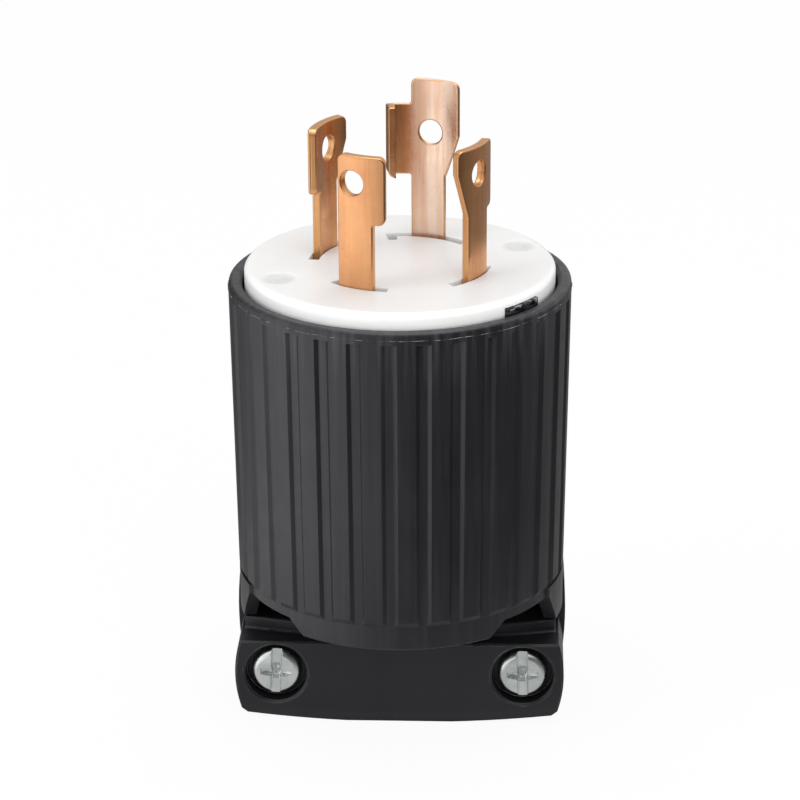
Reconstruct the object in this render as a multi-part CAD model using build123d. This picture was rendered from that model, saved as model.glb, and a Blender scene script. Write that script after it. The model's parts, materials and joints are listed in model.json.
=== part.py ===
from build123d import *
import math
import os

# A four-pole locking power plug, standing on its cord clamp.
# Millimetres, +Z up. The Z axis is the axis of the plug, Z = 0 is the foot of the
# clamp, and the separate clamp jaw faces -Y. Angles run anticlockwise from +X,
# seen from above.

# Shell: a ribbed cup with its mouth up
rim_radius = 28.5
barrel_taper = 0.7
body_length = 51.9
rim_height = 1.2
rim_lean = 0.15
rim_rounding = 0.6
rim_ring_height = 0.8
rim_wall = 2.3
mouth_bevel = 0.6
seat_width = 1.6
seat_depth = 14.4
floor_thickness = 3.5
cord_hole_wall = 2.9
tongue_drop = 2.7
tongue_half_angle = 41.0
tongue_end_lean = 2.6
tongue_thickness = 3.0
tongue_edge_radius = 0.4
cheek_thickness = 1.5
cheek_front = 11.4
cheek_lean = 3.4
cheek_gap = 0.4

# Ribs of the shell
rib_count = 32
rib_height = 0.5
rib_crest_angle = 6.0
rib_root_angle = 8.4
rib_foot_margin = 1.6
rib_foot_draft = 0.9
first_groove_angle = -91.5

# Key on the shell's bore, in a notch of the face
key_start_angle = -47.0
key_end_angle = -29.5
key_depth = 1.0
key_rise = 0.95
key_length = 7.0
key_window_width = 2.3
key_window_height = 0.7
key_window_spread_angle = 9.5
key_window_rise = 0.42

# Clamp: its rear half is moulded with the shell, its front jaw is loose
jaw_height = 15.0
jaw_thickness = 12.0
jaw_step_height = 2.3
jaw_step_radius = 95.0
jaw_ledge = 1.7
jaw_step_inset = 0.6
jaw_step_edge_radius = 0.4
jaw_step_root_radius = 0.5
jaw_edge_bevel = 0.3
jaw_headroom = 6.0
jaw_gap = 1.0
jaw_waist_inset = 0.5
jaw_waist_height = 9.0
jaw_foot_narrowing = 1.0
jaw_foot_corner_height = 2.3
jaw_foot_corner_width = 1.0
jaw_top_narrowing = 0.9
jaw_foot_bevel_height = 2.0
jaw_foot_bevel_depth = 0.5
foot_land_half_width = 9.0
foot_radius = 215.0
rear_clamp_thickness = 12.0
rear_clamp_waist_inset = 0.25
rear_clamp_waist_height = 12.5
rear_clamp_corner_reach = 0.7
channel_screw_margin = 9.0
channel_depth = 7.0
ridge_count = 3
ridge_height = 1.0
ridge_width = 1.6
ridge_crest_width = 0.4

# Clamp screws and nuts
clamp_screw_margin = 7.0
clamp_screw_below_ledge = 6.0
clamp_screw_diameter = 4.2
clamp_screw_length = 21.0
clamp_head_diameter = 8.5
clamp_head_height = 2.6
clamp_head_recess_diameter = 10.5
clamp_head_sink = 0.3
clamp_recess_bevel = 0.4
clamp_nut_width = 8.7
clamp_nut_thickness = 3.2
clamp_nut_seat = 3.5

# White face
face_gap = 0.4
face_proud = 2.4
face_thickness = 8.0
face_edge_radius = 1.0
face_skirt_wall = 3.8
dimple_diameter = 6.4
dimple_depth = 0.3
dimple_margin = 4.4
dimple_angle = 24.2

# Terminal block under the face
block_gap = 0.4
block_depth = 24.8
block_core_radius = 7.0
block_core_roof = 3.0
pocket_behind_blade = 3.1
pocket_width = 12.4
pocket_height = 12.0
pocket_floor = 3.0
wire_slot_width = 9.0
wire_slot_setback = 0.7
wire_slot_margin = 3.2

# Blades: strips curved to one circle
blade_outer_radius = 15.1
blade_thickness = 1.5
blade_length = 22.2
ground_blade_length = 27.4
blade_corner_radius = 1.2
hook_height = 10.9
ground_hook_height = 10.7
ground_hook_length = 12.3
ground_lip_depth = 1.8
taper_low = 10.9
taper_high = 18.2
blade_hole_diameter = 4.1
blade_hole_height = 17.6
ground_hole_height = 18.3
shoulder_angle = 48.0
shoulder_height = 3.0
tab_angle = 34.0

# Terminal screws and pressure plates
terminal_screw_diameter = 4.0
terminal_screw_length = 5.6
terminal_head_diameter = 8.0
terminal_head_height = 2.2
plate_thickness = 1.5
plate_angle = 30.0
plate_height = 9.0

# Assembly screws and their square nuts
assembly_screw_margin = 5.7
assembly_angle = -75.0
assembly_screw_diameter = 4.0
assembly_screw_tip_cover = 2.2
assembly_head_diameter = 7.4
assembly_head_height = 2.5
assembly_nut_width = 7.0
assembly_nut_thickness = 3.0
boss_radius = 4.6
boss_web = 3.0

# Heads and tips of the screws: shares of the head's height, the shank's diameter and
# the head's diameter, then the sizes of the driver's recess
head_rounding = 0.45
tip_taper = 0.12
cross_span = 0.62
cross_width = 1.2
slot_width = 1.7
slot_depth = 1.0

# Clearances
slip = 0.15
running = 0.05
hole_clearance = 0.2
head_clearance = 0.3
tip_room = 0.8

# How far a cutter reaches past a face, and how deep joined shapes of one solid lap
past = 1.0
bite = 0.5
lap_angle = 0.5

# Radii about the plug's axis
base_radius = rim_radius - barrel_taper
band_radius = base_radius - rib_height
bore_radius = rim_radius - rim_wall
lower_bore_radius = bore_radius - seat_width
face_radius = bore_radius - face_gap
face_skirt_radius = face_radius - face_skirt_wall
dimple_circle_radius = face_radius - dimple_margin
block_radius = lower_bore_radius - block_gap
assembly_circle_radius = block_radius - assembly_screw_margin
cord_hole_radius = assembly_circle_radius - boss_radius - cord_hole_wall
blade_inner_radius = blade_outer_radius - blade_thickness
blade_mid_radius = blade_outer_radius - blade_thickness / 2
pocket_inner = blade_inner_radius - pocket_behind_blade
wire_slot_inner = blade_outer_radius + wire_slot_setback
wire_slot_outer = block_radius - wire_slot_margin
big = 4 * rim_radius

# Angles that a clearance and a strip's thickness take up on the blades' circle
slip_angle = math.degrees(slip / blade_mid_radius)
lip_angle = math.degrees(blade_thickness / blade_mid_radius)

# Half widths across the clamp
jaw_waist_half_width = rim_radius - jaw_waist_inset
jaw_foot_half_width = jaw_waist_half_width - jaw_foot_narrowing
jaw_top_half_width = jaw_waist_half_width - jaw_top_narrowing
rear_clamp_waist_half_width = rim_radius - rear_clamp_waist_inset
rear_clamp_corner_radius = rim_radius + rear_clamp_corner_reach
clamp_screw_spacing = 2 * (jaw_waist_half_width - clamp_screw_margin)
channel_radius = clamp_screw_spacing / 2 - channel_screw_margin

# Heights of the parts above the foot
clamp_screw_height = jaw_height - clamp_screw_below_ledge
jaw_top = jaw_height + jaw_step_height
shell_base = jaw_top + jaw_headroom
rib_foot = shell_base + rib_foot_margin
rim_edge = shell_base + body_length
rim_top = rim_edge + rim_height
seat_level = rim_top - seat_depth
floor_top = shell_base + floor_thickness
face_top = rim_top + face_proud
face_bottom = face_top - face_thickness
block_bottom = face_bottom - block_depth
pocket_bottom = block_bottom + pocket_floor
pocket_top = pocket_bottom + pocket_height
terminal_height = pocket_bottom + pocket_height / 2

# Places along Y in the clamp
jaw_back = -jaw_gap
jaw_front = jaw_back - jaw_thickness
screw_seat = jaw_front + clamp_head_sink + clamp_head_height

# Each blade: the angles of its stem, of the wing that widens its clockwise side (the
# stem's own angle where there is none), of the hook at its anticlockwise side, of its
# hole, and of the clockwise end of the face's slot that it enters by
blades = {
    "ground": dict(slot_angle=43.3, wing_angle=49.6, stem_angles=(60.6, 84.4),
                   hook_angle=101.0, hole_angle=70.9,
                   length=ground_blade_length, hole_height=ground_hole_height),
    "neutral": dict(slot_angle=224.2, wing_angle=230.7, stem_angles=(230.7, 255.6),
                    hook_angle=263.6, hole_angle=241.3,
                    length=blade_length, hole_height=blade_hole_height),
    "hot_x": dict(slot_angle=-53.0, wing_angle=-49.3, stem_angles=(-40.2, -16.5),
                  hook_angle=-7.4, hole_angle=-28.5,
                  length=blade_length, hole_height=blade_hole_height),
    "hot_y": dict(slot_angle=128.5, wing_angle=132.0, stem_angles=(141.9, 165.9),
                  hook_angle=176.5, hole_angle=152.3,
                  length=blade_length, hole_height=blade_hole_height),
}


def polar(radius, angle):
    """Point on a circle about the Z axis."""
    return (radius * math.cos(math.radians(angle)), radius * math.sin(math.radians(angle)))


def rod(radius, low, high, at=(0, 0)):
    """Upright cylinder between two heights."""
    return Pos(at[0], at[1], (low + high) / 2) * Cylinder(radius, high - low)


def strip(inner, outer, start, end, low, high):
    """Annular sector between two radii, two angles and two heights."""
    middle = (start + end) / 2
    outline = ThreePointArc(polar(outer, start), polar(outer, middle), polar(outer, end))
    outline += Line(polar(outer, end), polar(inner, end))
    outline += ThreePointArc(polar(inner, end), polar(inner, middle), polar(inner, start))
    outline += Line(polar(inner, start), polar(outer, start))
    return Pos(0, 0, low) * extrude(make_face(outline), high - low)


def turned(*corners):
    """Solid turned about the Z axis from (radius, height) corners."""
    return revolve(Plane.XZ * make_face(Polyline(*corners, close=True)), Axis.Z)


def along_y(outline, near, far):
    """A closed XZ outline drawn out from Y = near to Y = far."""
    plane = Plane(origin=(0, far, 0), x_dir=(1, 0, 0), z_dir=(0, -1, 0))
    return extrude(plane * make_face(outline), far - near)


def block(low, high):
    """Box between two opposite corners."""
    size = [b - a for a, b in zip(low, high)]
    centre = [(a + b) / 2 for a, b in zip(low, high)]
    return Pos(*centre) * Box(*size)


def outward(angle, height):
    """Frame at the axis whose Z looks radially outward at an angle."""
    return Location(Plane(origin=(0, 0, height), x_dir=(*polar(1, angle + 90), 0),
                          z_dir=(*polar(1, angle), 0)))


def prism(sides, width, height):
    """Upright prism of a number of sides, standing on Z = 0, by its width across flats."""
    return extrude(RegularPolygon(width / 2 / math.cos(math.pi / sides), sides), height)


def shell_radius(height):
    """Radius over the ribs at a height of the tapered shell."""
    rise = (height - shell_base) / body_length
    return base_radius + (rim_radius - base_radius) * rise


def stem_centre(blade):
    """Middle angle of a blade's stem."""
    return sum(blade["stem_angles"]) / 2


# Screws and nuts

def screw(diameter, length, head_diameter, head_height, crossed):
    """Round-headed screw: seat at Z = 0, head above it, shank below it."""
    head = Cylinder(head_diameter / 2, head_height, align=(Align.CENTER, Align.CENTER, Align.MIN))
    head = fillet(head.edges().group_by(Axis.Z)[-1], head_height * head_rounding)
    head -= Pos(0, 0, head_height) * Box(slot_width, 2 * head_diameter, 2 * slot_depth)
    if crossed:
        span = head_diameter * cross_span
        head -= Pos(0, 0, head_height) * Box(span, cross_width, 2 * slot_depth)
    shank = Cylinder(diameter / 2, length, align=(Align.CENTER, Align.CENTER, Align.MAX))
    shank = chamfer(shank.edges().group_by(Axis.Z)[0], diameter * tip_taper)
    return head + shank


def nut(sides, width, thickness, hole):
    """Nut of a number of sides, resting on Z = 0, with a plain bore."""
    return prism(sides, width, thickness) - Cylinder(hole / 2, 3 * thickness)


def clamp_screw_places():
    """X positions of the two clamp screws."""
    return (-clamp_screw_spacing / 2, clamp_screw_spacing / 2)


def clamp_axis(x, y):
    """Frame on a clamp screw's axis whose Z looks to -Y."""
    return Location(Plane(origin=(x, y, clamp_screw_height), x_dir=(1, 0, 0), z_dir=(0, -1, 0)))


def clamp_screws():
    tool = screw(clamp_screw_diameter, clamp_screw_length, clamp_head_diameter,
                 clamp_head_height, True)
    return [clamp_axis(x, screw_seat) * tool for x in clamp_screw_places()]


def clamp_nuts():
    tool = nut(6, clamp_nut_width, clamp_nut_thickness, clamp_screw_diameter + 2 * running)
    far = clamp_nut_seat + clamp_nut_thickness
    return [clamp_axis(x, far) * tool for x in clamp_screw_places()]


def assembly_places():
    """The two assembly screws stand opposite each other, clear of the clamp."""
    return [polar(assembly_circle_radius, assembly_angle + turn) for turn in (0, 180)]


def assembly_seat():
    """Height of the shoulder under the head of an assembly screw."""
    return shell_base + assembly_head_height


def assembly_screws():
    tip = face_top - assembly_screw_tip_cover - tip_room
    tool = screw(assembly_screw_diameter, tip - assembly_seat(), assembly_head_diameter,
                 assembly_head_height, False)
    return [Pos(x, y, assembly_seat()) * Rot(180, 0, 0) * tool for x, y in assembly_places()]


def assembly_nuts():
    tool = nut(4, assembly_nut_width, assembly_nut_thickness,
               assembly_screw_diameter + 2 * running)
    return [Pos(x, y, face_bottom) * Rot(0, 0, assembly_angle) * tool for x, y in assembly_places()]


# Shell

def shell_outside():
    """Ribbed, slightly tapered barrel with a rounded rim and a plain lower band."""
    ring_low = rim_edge - rim_ring_height
    rib_start = rib_foot + rib_foot_draft
    body = turned((0, shell_base), (band_radius, shell_base), (band_radius, rib_foot),
                  (shell_radius(rib_start), rib_start), (rim_radius, rim_edge),
                  (rim_radius - rim_lean, rim_top), (0, rim_top))
    body = fillet(body.edges().group_by(Axis.Z)[-1], rim_rounding)
    groove_pitch = 360 / rib_count
    floor_half = math.radians(groove_pitch - rib_root_angle) / 2
    mouth_half = math.radians(groove_pitch - rib_crest_angle) / 2
    sections = []
    for height in (rib_foot - past, ring_low):
        floor = shell_radius(height) - rib_height
        mouth = floor + 2 * rib_height
        mouth_width = floor * math.sin(floor_half)
        mouth_width += 2 * (mouth * math.sin(mouth_half) - mouth_width)
        corners = [(floor, -floor * math.sin(floor_half)), (floor, floor * math.sin(floor_half)),
                   (mouth, mouth_width), (mouth, -mouth_width)]
        sections.append(Pos(0, 0, height) * make_face(Polyline(*corners, close=True)))
    groove = loft(sections, ruled=True)
    grooves = [Rot(0, 0, first_groove_angle + i * groove_pitch) * groove for i in range(rib_count)]
    return body - grooves


def shell_hollow():
    """Bore for the face, lower bore for the wiring room, and the cord hole."""
    return turned((0, floor_top), (lower_bore_radius, floor_top),
                  (lower_bore_radius, seat_level), (bore_radius, seat_level),
                  (bore_radius, rim_top - mouth_bevel),
                  (bore_radius + 2 * mouth_bevel, rim_top + mouth_bevel),
                  (0, rim_top + mouth_bevel))


def tongue():
    """Skirt that hangs over the clamp jaw at the front, with sloped ends."""
    outer = band_radius
    inner = outer - tongue_thickness
    low = shell_base - tongue_drop
    wide = strip(inner, outer, -90 - tongue_half_angle, -90 + tongue_half_angle,
                 low, shell_base + floor_thickness / 2)
    edge = outer * math.sin(math.radians(tongue_half_angle))
    for side in (-1, 1):
        corners = [(side * (edge - tongue_end_lean), low - past), (side * big, low - past),
                   (side * big, shell_base), (side * edge, shell_base),
                   (side * (edge - tongue_end_lean), low)]
        wide -= along_y(Polyline(*corners, close=True), -big, 0)
    lower = wide.edges().group_by(Axis.Z)[0].sort_by(Axis.Y)[0]
    return fillet(lower, tongue_edge_radius)


def cheeks():
    """Sides of the shell that run down to the clamp jaw, with front edges that lean back."""
    low = jaw_top + cheek_gap
    ring = rod(base_radius, low, rib_foot) - rod(band_radius - cheek_thickness, low - past, big)
    outline = Polyline((rear_clamp_thickness, low), (cheek_lean - cheek_front, low),
                       (-cheek_front, shell_base), (-cheek_front, rib_foot),
                       (rear_clamp_thickness, rib_foot), close=True)
    return ring & extrude(Plane.YZ * make_face(outline), big, both=True)


def foot_height(x):
    """Height of the clamp's bowed foot at a distance from its middle."""
    def bow(reach):
        return foot_radius - math.sqrt(foot_radius ** 2 - reach ** 2)

    return bow(x) - bow(foot_land_half_width)


def clamp_outline(top, waist, waist_height, top_half_width):
    """Barrel-sided outline of the clamp with a bowed foot and a flat land under it."""
    land = foot_land_half_width
    edge = jaw_foot_half_width
    inner = edge - jaw_foot_corner_width
    mid = (inner + land) / 2
    corner = jaw_foot_corner_height
    outline = Line((-land, 0), (land, 0))
    outline += ThreePointArc((land, 0), (mid, foot_height(mid)), (inner, foot_height(inner)))
    outline += Line((inner, foot_height(inner)), (edge, corner))
    outline += ThreePointArc((edge, corner), (waist, waist_height), (top_half_width, top))
    outline += Line((top_half_width, top), (-top_half_width, top))
    outline += ThreePointArc((-top_half_width, top), (-waist, waist_height), (-edge, corner))
    outline += Line((-edge, corner), (-inner, foot_height(inner)))
    outline += ThreePointArc((-inner, foot_height(inner)), (-mid, foot_height(mid)), (-land, 0))
    return outline


def cord_channel(split, side, low, high):
    """Rounded channel for the cord: side is the way out of the jaw at its split face."""
    centre = (0, split + side * (channel_radius - channel_depth))
    return rod(channel_radius, low, high, centre)


def cord_ridges(split, side, low, high):
    """Ridges across the channel that bite the cord."""
    centre = (0, split + side * (channel_radius - channel_depth))
    pitch = (high - low) / (ridge_count + 1)
    ridges = []
    for i in range(ridge_count):
        middle = low + (i + 1) * pitch
        root = ridge_width / 2
        crest = ridge_crest_width / 2
        ring = turned((channel_radius + past, middle - root - past),
                      (channel_radius + past, middle + root + past),
                      (channel_radius, middle + root),
                      (channel_radius - ridge_height, middle + crest),
                      (channel_radius - ridge_height, middle - crest),
                      (channel_radius, middle - root))
        ridges.append(Pos(*centre, 0) * ring)
    return ridges


def rear_clamp():
    """Rear half of the cord clamp, with wells for the nuts and the clamp screws' holes."""
    outline = clamp_outline(shell_base, rear_clamp_waist_half_width, rear_clamp_waist_height,
                            base_radius)
    half = along_y(outline, 0, rear_clamp_thickness)
    half &= rod(rear_clamp_corner_radius, -past, shell_base + past)
    half -= cord_channel(0, -1, -past, shell_base + past)
    keep = block((-channel_radius, 0, 0), (channel_radius, channel_depth + past, jaw_top))
    for ridge in cord_ridges(0, -1, 0, jaw_top):
        half += ridge & keep
    hole = clamp_screw_diameter / 2 + hole_clearance
    for x in clamp_screw_places():
        half -= clamp_axis(x, 0) * Cylinder(hole, 2 * big)
        half -= clamp_axis(x, clamp_nut_seat + big) * prism(6, clamp_nut_width + 2 * slip, big)
    return half


def shell():
    body = shell_outside() - shell_hollow() + tongue() + cheeks()
    body -= rod(cord_hole_radius, shell_base - past, floor_top + past)
    body += rear_clamp()
    for x, y in assembly_places():
        angle = math.degrees(math.atan2(y, x))
        column = rod(boss_radius, shell_base, block_bottom, (x, y))
        web = block((assembly_circle_radius, -boss_web / 2, floor_top - bite),
                    (lower_bore_radius + bite, boss_web / 2, block_bottom))
        body += column + Rot(0, 0, angle) * web
        body -= rod(assembly_screw_diameter / 2 + hole_clearance, shell_base - past,
                    block_bottom + past, (x, y))
        body -= rod(assembly_head_diameter / 2 + head_clearance,
                    shell_base - tongue_drop - past, assembly_seat(), (x, y))
    return body + key()


def key():
    """Key up the bore's side with two windows near its top."""
    top = rim_top + key_rise
    low = top - key_length
    tab = strip(bore_radius - key_depth, bore_radius, key_start_angle, key_end_angle, low, top)
    tab += strip(bore_radius - bite, bore_radius + bite, key_start_angle, key_end_angle, low,
                 rim_top - mouth_bevel - bite)
    middle = (key_start_angle + key_end_angle) / 2
    window = Pos(0, 0, bore_radius) * Box(key_window_width, key_window_height, 4 * key_depth)
    for side in (-1, 1):
        angle = middle + side * key_window_spread_angle / 2
        tab -= outward(angle, rim_top + key_window_rise) * window
    return tab


# Face and terminal block

def slot_cut(name):
    """Slot of the face that a blade's head passes through."""
    end = blades[name]["hook_angle"] + slip_angle
    low = face_bottom - past
    high = face_top + past
    inner = blade_inner_radius - slip
    outer = blade_outer_radius + slip
    cut = strip(inner, outer, blades[name]["slot_angle"], end, low, high)
    if name == "ground":
        start = end - lip_angle - 2 * slip_angle
        cut += strip(inner - ground_lip_depth, outer, start, end, low, high)
    return cut


def face():
    """White face: a disc with slots, and a skirt that stands on the shell's seat."""
    disc = rod(face_radius, seat_level, face_top)
    disc = fillet(disc.edges().group_by(Axis.Z)[-1], face_edge_radius)
    disc -= rod(face_skirt_radius, seat_level - past, face_bottom)
    for name in blades:
        disc -= slot_cut(name)
    margin = math.degrees(slip / bore_radius)
    disc -= strip(bore_radius - key_depth - slip, bore_radius + past, key_start_angle - margin,
                  key_end_angle + margin, seat_level - past, rim_top + key_rise + slip)
    dish_radius = (dimple_diameter ** 2 / 4 + dimple_depth ** 2) / (2 * dimple_depth)
    for turn in (0, 180):
        x, y = polar(dimple_circle_radius, dimple_angle + turn)
        disc -= Pos(x, y, face_top - dimple_depth + dish_radius) * Sphere(dish_radius)
    well = prism(4, assembly_nut_width + 2 * slip, assembly_nut_thickness + slip + past)
    for x, y in assembly_places():
        disc -= rod(assembly_screw_diameter / 2 + hole_clearance, face_bottom - past,
                    face_top - assembly_screw_tip_cover, (x, y))
        disc -= Pos(x, y, face_bottom - past) * Rot(0, 0, assembly_angle) * well
    return disc


def terminal_block():
    """Block under the face with a pocket, a blade slot and a wire slot per pole."""
    body = rod(block_radius, block_bottom, seat_level)
    body += rod(face_skirt_radius - slip, block_bottom, face_bottom)
    body -= rod(block_core_radius, block_bottom - past, face_bottom - block_core_roof)
    inner = blade_inner_radius - slip
    outer = blade_outer_radius + slip
    pocket = block((pocket_inner, -pocket_width / 2, pocket_bottom),
                   (big, pocket_width / 2, pocket_top))
    pocket += block((wire_slot_inner, -wire_slot_width / 2, block_bottom - past),
                    (wire_slot_outer, wire_slot_width / 2, pocket_top))
    for blade in blades.values():
        angle = stem_centre(blade)
        half = shoulder_angle / 2 + slip_angle
        body -= strip(inner, outer, angle - half, angle + half,
                      face_bottom - shoulder_height - slip, face_bottom + past)
        half = tab_angle / 2 + slip_angle
        body -= strip(inner, outer, angle - half, angle + half,
                      pocket_top - past, face_bottom + past)
        body -= Rot(0, 0, angle) * pocket
    for x, y in assembly_places():
        body -= rod(assembly_screw_diameter / 2 + hole_clearance, block_bottom - past,
                    face_bottom + past, (x, y))
    return body


# Blades and terminals

def slanted_wing(blade):
    """Part of a head that widens clockwise along a sloping edge."""
    start = blade["wing_angle"]
    end = blade["stem_angles"][0]
    low = face_top + taper_low
    wing = strip(blade_inner_radius, blade_outer_radius, start, end + lap_angle, low,
                 face_top + blade["length"])
    width = blade_mid_radius * math.radians(end - start)
    climb = (taper_high - taper_low) / width
    corners = [(-past, -past), (-past, taper_high - taper_low + climb * past), (width, 0),
               (width, -past)]
    plane = Plane(origin=(*polar(blade_inner_radius / 2, start), low),
                  x_dir=(*polar(1, start + 90), 0), z_dir=(*polar(1, start), 0))
    return wing - extrude(plane * make_face(Polyline(*corners, close=True)), blade_outer_radius)


def corner_cut(angle, height, side, up):
    """What rounds off a corner of a blade: side is +1 at an anticlockwise end."""
    radius = blade_corner_radius
    middle = (past - radius) / 2
    square = Pos(side * middle, up * middle) * Rectangle(radius + past, radius + past)
    round_end = Pos(-side * radius, -up * radius) * Circle(radius)
    plane = Plane(origin=(*polar(blade_inner_radius / 2, angle), height),
                  x_dir=(*polar(1, angle + 90), 0), z_dir=(*polar(1, angle), 0))
    return extrude(plane * (square - round_end), blade_outer_radius)


def blade_solid(name):
    """Blade with its stem, hook, wing, shoulder and terminal tab."""
    blade = blades[name]
    inner = blade_inner_radius
    outer = blade_outer_radius
    start, end = blade["stem_angles"]
    top = face_top + blade["length"]
    centre = stem_centre(blade)
    body = strip(inner, outer, start, end, face_bottom - shoulder_height, top)
    if name == "ground":
        low = face_top + ground_hook_height
        high = low + ground_hook_length
    else:
        low = face_top + hook_height
        high = top
    body += strip(inner, outer, end - lap_angle, blade["hook_angle"], low, high)
    if name == "ground":
        body += strip(inner - ground_lip_depth, outer, blade["hook_angle"] - lip_angle,
                      blade["hook_angle"], low, high)
    if blade["wing_angle"] < start:
        body += slanted_wing(blade)
    body -= corner_cut(blade["wing_angle"], top, -1, 1)
    body -= corner_cut(end if name == "ground" else blade["hook_angle"], top, 1, 1)
    body -= corner_cut(blade["hook_angle"], low, 1, -1)
    body += strip(inner, outer, centre - shoulder_angle / 2, centre + shoulder_angle / 2,
                  face_bottom - shoulder_height, face_bottom)
    body += strip(inner, outer, centre - tab_angle / 2, centre + tab_angle / 2,
                  pocket_bottom, face_bottom - shoulder_height / 2)
    hole = Cylinder(blade_hole_diameter / 2, big)
    body -= outward(blade["hole_angle"], face_top + blade["hole_height"]) * Pos(
        0, 0, big / 2 + inner / 2) * hole
    tapped = Cylinder(terminal_screw_diameter / 2 + running, big)
    body -= outward(centre, terminal_height) * Pos(0, 0, big / 2 + inner / 2) * tapped
    return body


def pressure_plate(name):
    """Plate that a terminal screw presses on the wire."""
    centre = stem_centre(blades[name])
    inner = blade_outer_radius
    plate = strip(inner, inner + plate_thickness, centre - plate_angle / 2,
                  centre + plate_angle / 2, terminal_height - plate_height / 2,
                  terminal_height + plate_height / 2)
    hole = Cylinder(terminal_screw_diameter / 2 + hole_clearance, big)
    return plate - outward(centre, terminal_height) * Pos(0, 0, big / 2 + inner / 2) * hole


def terminal_screw(name):
    """Screw that looks outward through the open side of its pocket."""
    centre = stem_centre(blades[name])
    tool = screw(terminal_screw_diameter, terminal_screw_length, terminal_head_diameter,
                 terminal_head_height, True)
    return outward(centre, terminal_height) * Pos(
        0, 0, blade_outer_radius + plate_thickness) * tool


# Clamp jaw

def front_jaw():
    """Loose clamp jaw: a faced block with a raised, bowed step behind its top ledge."""
    outline = clamp_outline(jaw_height, jaw_waist_half_width, jaw_waist_height,
                            jaw_top_half_width)
    jaw = along_y(outline, jaw_front, jaw_back)
    corner_foot = foot_height(jaw_foot_half_width - jaw_foot_corner_width)
    front_edges = jaw.edges().group_by(Axis.Y)[0]
    front_foot = front_edges.filter_by(lambda edge: edge.center().Z < corner_foot)
    jaw = chamfer(front_foot, jaw_foot_bevel_depth, jaw_foot_bevel_height)
    front_edges = jaw.edges().group_by(Axis.Y)[0]
    upper = front_edges.filter_by(lambda edge: edge.center().Z > jaw_foot_corner_height)
    jaw = chamfer(upper, jaw_edge_bevel)
    step_half = jaw_top_half_width - jaw_step_inset
    step_front = jaw_front + jaw_ledge
    step = block((-step_half, jaw_front, jaw_height - bite), (step_half, jaw_back, jaw_top))
    step &= rod(jaw_step_radius, 0, big, (0, step_front + jaw_step_radius))
    step = fillet(step.edges().group_by(Axis.Z)[-1].sort_by(Axis.Y)[0], jaw_step_edge_radius)
    jaw += step
    arcs = jaw.edges().filter_by(GeomType.CIRCLE)
    root = arcs.sort_by(lambda edge: abs(edge.center().Z - jaw_height))[0]
    jaw = fillet(root, jaw_step_root_radius)
    jaw -= cord_channel(jaw_back, 1, -past, jaw_top + past)
    keep = block((-channel_radius, jaw_back - channel_depth - past, 0),
                 (channel_radius, jaw_back, jaw_top))
    for ridge in cord_ridges(jaw_back, 1, 0, jaw_top):
        jaw += ridge & keep
    for x in clamp_screw_places():
        jaw -= clamp_axis(x, 0) * Cylinder(clamp_screw_diameter / 2 + hole_clearance, 2 * big)
        jaw -= clamp_axis(x, screw_seat) * Cylinder(
            clamp_head_recess_diameter / 2, big, align=(Align.CENTER, Align.CENTER, Align.MIN))
        jaw -= clamp_axis(x, jaw_front + clamp_recess_bevel) * Cone(
            clamp_head_recess_diameter / 2, clamp_head_recess_diameter / 2 + 2 * clamp_recess_bevel,
            2 * clamp_recess_bevel, align=(Align.CENTER, Align.CENTER, Align.MIN))
    return jaw


def parts():
    """Every node by name: one shape, or a list where fasteners share a node."""
    made = {
        "shell": shell(),
        "face": face(),
        "terminal_block": terminal_block(),
        "front_jaw": front_jaw(),
        "clamp_screws": clamp_screws(),
        "clamp_nuts": clamp_nuts(),
        "assembly_screws": assembly_screws(),
        "assembly_nuts": assembly_nuts(),
    }
    for name in blades:
        made["blade_" + name] = blade_solid(name)
        made["pressure_plate_" + name] = pressure_plate(name)
        made["terminal_screw_" + name] = terminal_screw(name)
    return made


os.makedirs("parts", exist_ok=True)
for node, shape in parts().items():
    solids = shape if isinstance(shape, list) else [shape]
    solids = [solid for item in solids for solid in item.solids()]
    export_step(Compound(children=solids), f"parts/{node}.step")
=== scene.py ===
import json
import math
import random

import bmesh
import bpy
from mathutils import Matrix, Vector
from mathutils.geometry import tessellate_polygon

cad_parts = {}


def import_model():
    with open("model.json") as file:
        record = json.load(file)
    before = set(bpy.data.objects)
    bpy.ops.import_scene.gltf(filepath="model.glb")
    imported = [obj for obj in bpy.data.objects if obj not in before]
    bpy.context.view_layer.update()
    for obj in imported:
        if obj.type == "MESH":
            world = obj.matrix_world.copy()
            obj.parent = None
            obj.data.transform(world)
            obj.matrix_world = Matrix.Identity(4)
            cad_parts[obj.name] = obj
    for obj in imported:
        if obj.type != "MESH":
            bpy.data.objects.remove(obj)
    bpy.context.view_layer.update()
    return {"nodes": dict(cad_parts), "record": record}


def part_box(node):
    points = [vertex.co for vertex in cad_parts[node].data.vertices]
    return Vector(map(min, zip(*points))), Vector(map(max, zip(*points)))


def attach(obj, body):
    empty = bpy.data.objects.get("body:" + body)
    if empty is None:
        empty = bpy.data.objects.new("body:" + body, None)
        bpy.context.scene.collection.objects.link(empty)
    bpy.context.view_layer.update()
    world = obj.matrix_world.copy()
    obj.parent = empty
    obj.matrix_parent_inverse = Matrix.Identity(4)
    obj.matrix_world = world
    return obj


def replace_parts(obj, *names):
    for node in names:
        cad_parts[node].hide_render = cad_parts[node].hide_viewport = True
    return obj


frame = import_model()
nodes = frame["nodes"]
bodies = {name: body for body, names in frame["record"]["behaviour"]["bodies"].items()
          for name in names}

MM = 0.001

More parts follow.
